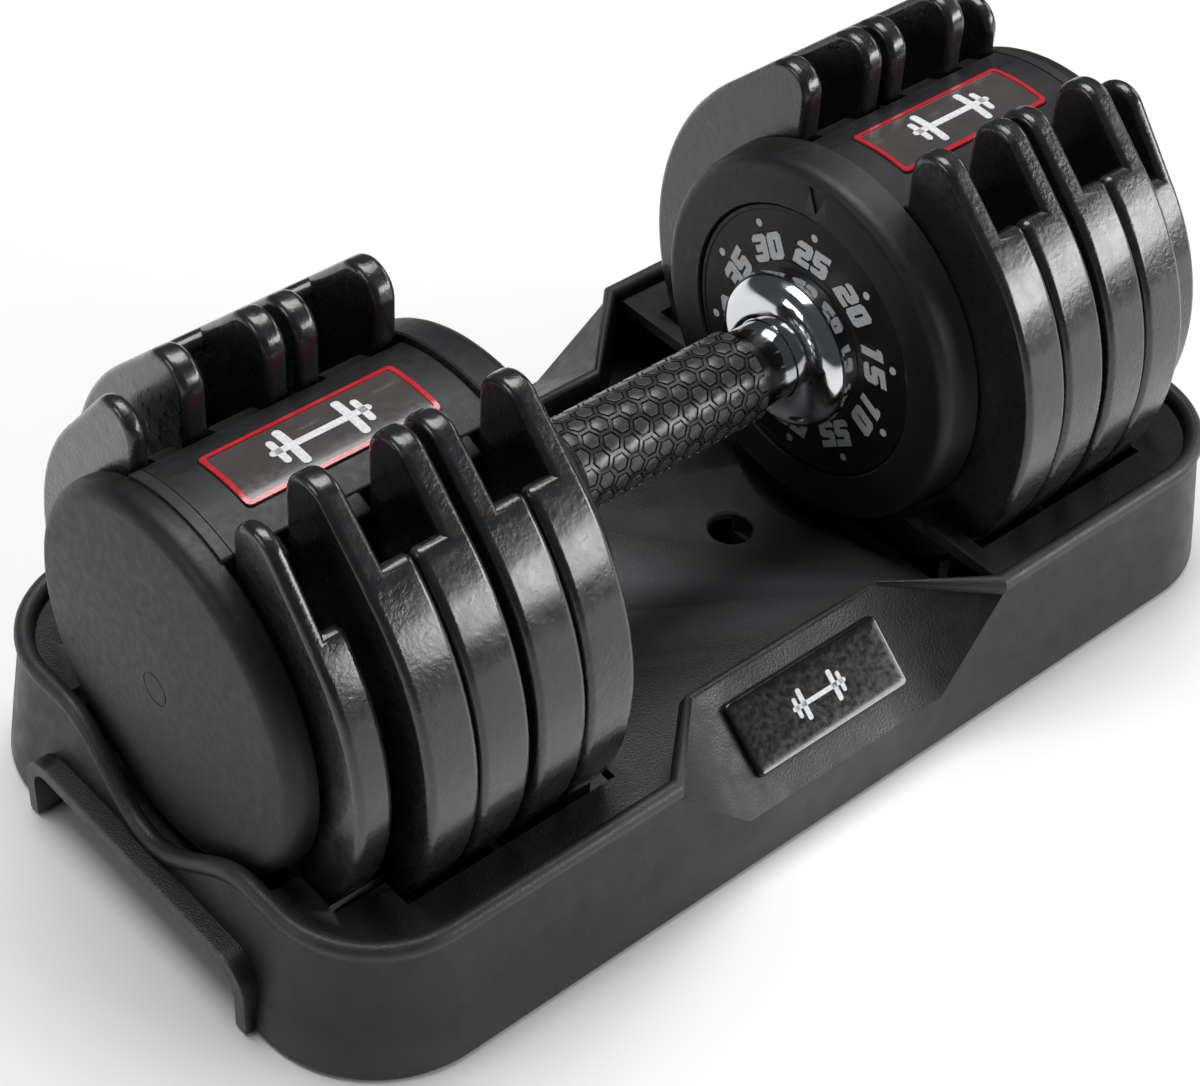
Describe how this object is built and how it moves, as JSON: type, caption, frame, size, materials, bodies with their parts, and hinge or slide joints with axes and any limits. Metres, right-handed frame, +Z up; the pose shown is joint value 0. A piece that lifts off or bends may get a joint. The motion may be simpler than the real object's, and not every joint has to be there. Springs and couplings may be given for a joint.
{
  "type": "adjustable dumbbell",
  "caption": "Adjustable dumbbell: U-shaped iron plates hang on turning selector discs at each end of a chrome handle with a rubber grip, resting in a moulded storage tray.",
  "frame": {"origin": "bottom centre of the tray, on the table", "axes": "+X along the handle, +Y towards the back (the tray's badge faces -Y), +Z up"},
  "size_m": [0.4316, 0.2212, 0.1875],
  "materials": {
    "cast_iron_enamel": "black enamel, orange-peel texture, satin",
    "matte_black_shell": "moulded, matte",
    "grained_black_tray": "moulded, fine grain",
    "dial_black": "moulded, satin, white printed marks",
    "badge_gloss": "domed gloss",
    "chrome": "polished chrome",
    "zinc_steel": "zinc plated",
    "grip_rubber": "hexagon texture",
    "foot_rubber": "matte"
  },
  "bodies": {
    "tray": {"tray_body": "grained_black_tray", "tray_badge": "badge_gloss", "foot_front_left": "foot_rubber", "foot_front_right": "foot_rubber", "foot_rear_left": "foot_rubber", "foot_rear_right": "foot_rubber"},
    "core": {"left_housing": "matte_black_shell", "left_end_cap": "matte_black_shell", "left_inner_cover": "matte_black_shell", "left_top_badge": "badge_gloss", "left_lock_spring": "zinc_steel", "right_housing": "matte_black_shell", "right_end_cap": "matte_black_shell", "right_inner_cover": "matte_black_shell", "right_top_badge": "badge_gloss", "right_lock_spring": "zinc_steel"},
    "rotor": {"grip": "grip_rubber", "handle_tube": "chrome", "shaft": "zinc_steel", "left_collar": "chrome", "left_dial": "dial_black", "left_lock_wheel": "zinc_steel", "left_selector_a": "zinc_steel", "left_selector_b": "zinc_steel", "left_selector_c": "zinc_steel", "left_spacer_a": "zinc_steel", "left_spacer_b": "zinc_steel", "left_spacer_c": "zinc_steel", "left_spacer_d": "zinc_steel", "left_end_washer": "zinc_steel", "left_end_nut": "zinc_steel", "right_collar": "chrome", "right_dial": "dial_black", "right_lock_wheel": "zinc_steel", "right_selector_a": "zinc_steel", "right_selector_b": "zinc_steel", "right_selector_c": "zinc_steel", "right_spacer_a": "zinc_steel", "right_spacer_b": "zinc_steel", "right_spacer_c": "zinc_steel", "right_spacer_d": "zinc_steel", "right_end_washer": "zinc_steel", "right_end_nut": "zinc_steel"},
    "left_lock": {"left_lock_slider": "zinc_steel"},
    "left_detent": {"left_detent_plunger": "zinc_steel"},
    "left_weight_1": {"left_plate_1": "cast_iron_enamel"},
    "left_weight_2": {"left_plate_2": "cast_iron_enamel"},
    "left_weight_3": {"left_plate_3": "cast_iron_enamel"},
    "left_weight_4": {"left_plate_4": "cast_iron_enamel"},
    "left_weight_5": {"left_plate_5": "cast_iron_enamel"},
    "right_lock": {"right_lock_slider": "zinc_steel"},
    "right_detent": {"right_detent_plunger": "zinc_steel"},
    "right_weight_1": {"right_plate_1": "cast_iron_enamel"},
    "right_weight_2": {"right_plate_2": "cast_iron_enamel"},
    "right_weight_3": {"right_plate_3": "cast_iron_enamel"},
    "right_weight_4": {"right_plate_4": "cast_iron_enamel"},
    "right_weight_5": {"right_plate_5": "cast_iron_enamel"}
  },
  "joints": [
    {"name": "dumbbell_lift", "type": "slide", "parent": "tray", "child": "core", "axis": [0, 0, 1], "range_m": [0, 0.25]},
    {"name": "handle_turn", "type": "hinge", "parent": "core", "child": "rotor", "pos_m": [0, 0, 0.0966], "axis": [1, 0, 0], "range_deg": [-108, 216]},
    {"name": "left_lock_drop", "type": "slide", "parent": "core", "child": "left_lock", "axis": [0, 0, 1], "range_m": [-0.006, 0], "deforming": ["left_lock_spring"]},
    {"name": "left_detent_click", "type": "slide", "parent": "core", "child": "left_detent", "axis": [-1, 0, 0], "range_m": [0, 0.001]},
    {"name": "left_plate_1_lift", "type": "slide", "parent": "tray", "child": "left_weight_1", "axis": [0, 0, 1], "range_m": [0, 0.25]},
    {"name": "left_plate_2_lift", "type": "slide", "parent": "tray", "child": "left_weight_2", "axis": [0, 0, 1], "range_m": [0, 0.0015]},
    {"name": "left_plate_3_lift", "type": "slide", "parent": "tray", "child": "left_weight_3", "axis": [0, 0, 1], "range_m": [0, 0.0015]},
    {"name": "left_plate_4_lift", "type": "slide", "parent": "tray", "child": "left_weight_4", "axis": [0, 0, 1], "range_m": [0, 0.0015]},
    {"name": "left_plate_5_lift", "type": "slide", "parent": "tray", "child": "left_weight_5", "axis": [0, 0, 1], "range_m": [0, 0.25]},
    {"name": "right_lock_drop", "type": "slide", "parent": "core", "child": "right_lock", "axis": [0, 0, 1], "range_m": [-0.006, 0], "deforming": ["right_lock_spring"]},
    {"name": "right_detent_click", "type": "slide", "parent": "core", "child": "right_detent", "axis": [1, 0, 0], "range_m": [0, 0.001]},
    {"name": "right_plate_1_lift", "type": "slide", "parent": "tray", "child": "right_weight_1", "axis": [0, 0, 1], "range_m": [0, 0.25]},
    {"name": "right_plate_2_lift", "type": "slide", "parent": "tray", "child": "right_weight_2", "axis": [0, 0, 1], "range_m": [0, 0.0015]},
    {"name": "right_plate_3_lift", "type": "slide", "parent": "tray", "child": "right_weight_3", "axis": [0, 0, 1], "range_m": [0, 0.0015]},
    {"name": "right_plate_4_lift", "type": "slide", "parent": "tray", "child": "right_weight_4", "axis": [0, 0, 1], "range_m": [0, 0.0015]},
    {"name": "right_plate_5_lift", "type": "slide", "parent": "tray", "child": "right_weight_5", "axis": [0, 0, 1], "range_m": [0, 0.25]}
  ],
  "couplings": [
    {"joint": "left_lock_drop", "follows": "dumbbell_lift", "ratio": -0.024},
    {"joint": "left_plate_1_lift", "follows": "dumbbell_lift", "ratio": 1},
    {"joint": "left_plate_5_lift", "follows": "dumbbell_lift", "ratio": 1},
    {"joint": "right_lock_drop", "follows": "dumbbell_lift", "ratio": -0.024},
    {"joint": "right_plate_1_lift", "follows": "dumbbell_lift", "ratio": 1},
    {"joint": "right_plate_5_lift", "follows": "dumbbell_lift", "ratio": 1}
  ]
}
